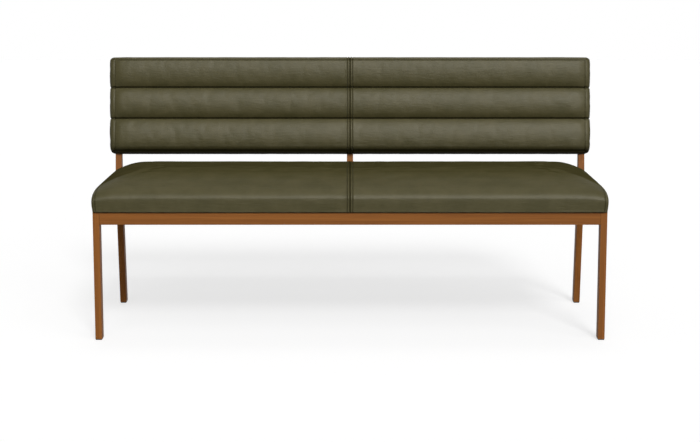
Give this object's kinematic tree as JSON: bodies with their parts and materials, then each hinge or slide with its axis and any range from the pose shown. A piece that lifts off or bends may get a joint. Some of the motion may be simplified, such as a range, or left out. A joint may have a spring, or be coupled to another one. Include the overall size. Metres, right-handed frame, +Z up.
{
  "type": "upholstered bench",
  "caption": "Upholstered bench on slim wooden legs, with a crowned leather seat and a raked, channelled leather back held on posts.",
  "frame": {"origin": "on the floor, under the middle of the whole bench", "axes": "+X to the bench's right end as seen from the front, +Y to its back, +Z up"},
  "size_m": [1.556, 0.596, 0.8135],
  "materials": {
    "walnut": "satin",
    "beech": "matt",
    "plywood": "matt",
    "hardboard": "matt",
    "foam": "matt",
    "wadding": "matt",
    "leather": "satin",
    "zinc_screws": "satin",
    "nylon_glide": "matt",
    "dust_cloth": "matt"
  },
  "bodies": {
    "root": {"back_board": "plywood", "back_board_screws": "zinc_screws", "back_bottom_padding": "foam", "back_bottom_rail_left": "beech", "back_bottom_rail_right": "beech", "back_cover_left": "leather", "back_cover_right": "leather", "back_end_padding_left": "foam", "back_end_padding_right": "foam", "back_foam_bottom": "foam", "back_foam_middle": "foam", "back_foam_top": "foam", "back_rail_dowels": "beech", "back_rear_board": "hardboard", "back_rear_cover": "leather", "back_rear_wadding": "wadding", "back_top_padding": "foam", "back_top_rail": "beech", "bearer_dowels": "beech", "centre_post": "walnut", "centre_post_screw": "zinc_screws", "corner_block_front_left": "beech", "corner_block_front_right": "beech", "corner_block_rear_left": "beech", "corner_block_rear_right": "beech", "corner_block_screws": "zinc_screws", "front_glide_left": "nylon_glide", "front_glide_right": "nylon_glide", "front_leg_left": "walnut", "front_leg_right": "walnut", "front_rail": "walnut", "front_rail_dowels": "beech", "rear_glide_left": "nylon_glide", "rear_glide_right": "nylon_glide", "rear_leg_left": "walnut", "rear_leg_right": "walnut", "rear_rail": "walnut", "rear_rail_dowels": "beech", "seat_bearer_left": "beech", "seat_bearer_right": "beech", "seat_cover_left": "leather", "seat_cover_right": "leather", "seat_deck": "plywood", "seat_dust_cover": "dust_cloth", "seat_foam": "foam", "seat_screws": "zinc_screws", "seat_wadding": "wadding", "side_rail_dowels": "beech", "side_rail_left": "walnut", "side_rail_right": "walnut"}
  },
  "joints": []
}
